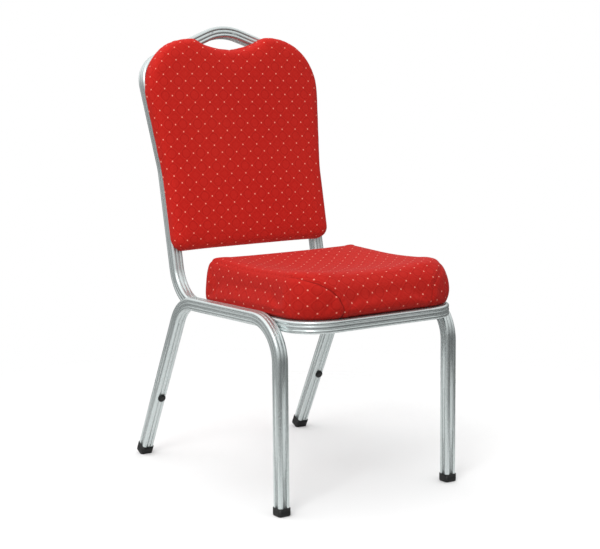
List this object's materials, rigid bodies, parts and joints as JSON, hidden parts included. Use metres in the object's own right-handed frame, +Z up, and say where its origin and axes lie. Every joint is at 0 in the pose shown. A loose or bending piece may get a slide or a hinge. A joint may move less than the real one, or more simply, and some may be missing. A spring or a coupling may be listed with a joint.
{
  "type": "stacking banquet chair",
  "caption": "Stacking banquet chair: ribbed silver tube frame with bent legs, a hand-hold arch over a padded dog-bone back, and a thick padded seat in red patterned cloth.",
  "frame": {"origin": "centre of the chair's bounding box in plan, on the floor", "axes": "+X to the right of someone who stands in front and faces the chair, -Y the way the sitter faces, +Z up"},
  "size_m": [0.442, 0.6275, 0.93],
  "materials": {
    "frame_tube": "bright anodised, satin, with ribs along the tube",
    "black_plastic": "moulded, satin black",
    "red_fabric": "flat woven red cloth with a small repeating pattern of cream dots and dark rings",
    "foam": "cut foam, open cell",
    "plywood": "raw plywood",
    "hardboard": "raw hardboard",
    "dust_cloth": "black non-woven cloth",
    "zinc_steel": "zinc plated"
  },
  "bodies": {
    "root": {"leg_frame_left": "frame_tube", "leg_frame_right": "frame_tube", "back_frame": "frame_tube", "front_bow": "frame_tube", "rear_cross_tube": "frame_tube", "joint_sleeve_left": "frame_tube", "joint_sleeve_right": "frame_tube", "seat_bracket_front_left": "frame_tube", "seat_bracket_front_right": "frame_tube", "seat_bracket_rear_left": "frame_tube", "seat_bracket_rear_right": "frame_tube", "foot_glide_front_left": "black_plastic", "foot_glide_front_right": "black_plastic", "foot_glide_rear_left": "black_plastic", "foot_glide_rear_right": "black_plastic", "stacking_bumper_left": "black_plastic", "stacking_bumper_right": "black_plastic", "seat_cover": "red_fabric", "back_cover": "red_fabric", "rear_panel_cover": "red_fabric", "seat_foam": "foam", "back_foam": "foam", "rear_panel_foam": "foam", "seat_board": "plywood", "back_board": "plywood", "rear_panel_board": "hardboard", "seat_dust_cover": "dust_cloth", "seat_staples": "zinc_steel", "seat_screws": "zinc_steel", "seat_screw_washers": "zinc_steel", "seat_t_nuts": "zinc_steel", "back_screws": "zinc_steel", "back_t_nuts": "zinc_steel"}
  },
  "joints": []
}
